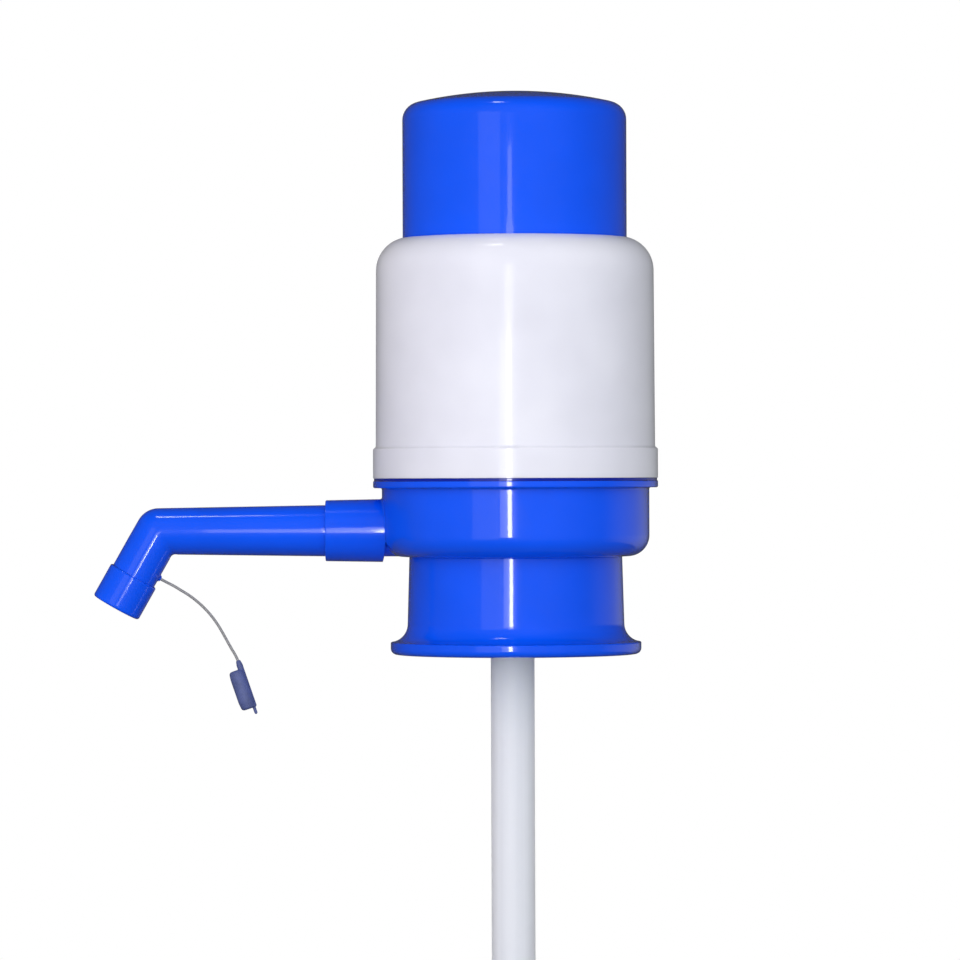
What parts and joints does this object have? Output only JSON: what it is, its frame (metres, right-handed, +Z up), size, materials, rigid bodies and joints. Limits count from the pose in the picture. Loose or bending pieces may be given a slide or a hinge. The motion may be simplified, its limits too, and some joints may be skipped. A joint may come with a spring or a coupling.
{
  "type": "water jug hand pump",
  "caption": "Hand pump for a large water jug: a press cap in a milky sleeve squeezes a bellows, with a neck collar, a suction tube and a swivelling spout.",
  "frame": {"origin": "centre of the neck seal's lower face, where the jug's rim meets the pump", "axes": "+Z up along the pump's axis, the spout towards -X"},
  "size_m": [0.1611, 0.0814, 0.6074],
  "materials": {
    "blue_plastic": "glossy moulded blue",
    "milky_plastic": "glossy, milky translucent",
    "tube_plastic": "satin, translucent white",
    "inner_plastic": "plain moulded white",
    "bellows_plastic": "soft, milky, blow moulded",
    "soft_rubber": "soft grey rubber",
    "tether_cord": "thin grey line",
    "stopper_rubber": "slate-blue rubber"
  },
  "bodies": {
    "base": {"base_cup": "blue_plastic", "neck_collar": "blue_plastic", "neck_seal": "soft_rubber", "tube_gland": "soft_rubber", "suction_tube_upper": "tube_plastic", "tube_coupler_upper": "blue_plastic", "suction_tube_middle": "tube_plastic", "tube_coupler_lower": "blue_plastic", "suction_tube_lower": "tube_plastic", "outer_sleeve": "milky_plastic", "valve_plate": "inner_plastic", "outlet_valve_pin": "blue_plastic", "bellows_clamp_ring": "blue_plastic", "bellows": "bellows_plastic"},
    "cap": {"press_cap": "blue_plastic", "pressure_disc": "inner_plastic", "inlet_valve_pin": "blue_plastic"},
    "inlet_valve": {"inlet_valve_disc": "soft_rubber"},
    "outlet_valve": {"outlet_valve_disc": "soft_rubber"},
    "spout": {"spout_pipe": "blue_plastic", "spout_o_ring": "soft_rubber", "spout_nozzle": "blue_plastic", "tether_line": "tether_cord", "tether_plug": "stopper_rubber"}
  },
  "joints": [
    {"name": "press_stroke", "type": "slide", "parent": "base", "child": "cap", "axis": [0, 0, -1], "range_m": [0, 0.035], "stiffness_N_per_m": 500, "springref_m": -0.02, "deforming": ["bellows"]},
    {"name": "spout_swivel", "type": "hinge", "parent": "base", "child": "spout", "pos_m": [-0.0484, 0, 0.0098], "axis": [1, 0, 0], "continuous": true},
    {"name": "inlet_valve_lift", "type": "slide", "parent": "cap", "child": "inlet_valve", "axis": [0, 0, -1], "range_m": [0, 0.0015], "stiffness_N_per_m": 40, "springref_m": -0.0005},
    {"name": "outlet_valve_lift", "type": "slide", "parent": "base", "child": "outlet_valve", "axis": [0, 0, -1], "range_m": [0, 0.0015], "stiffness_N_per_m": 40, "springref_m": -0.0005}
  ]
}
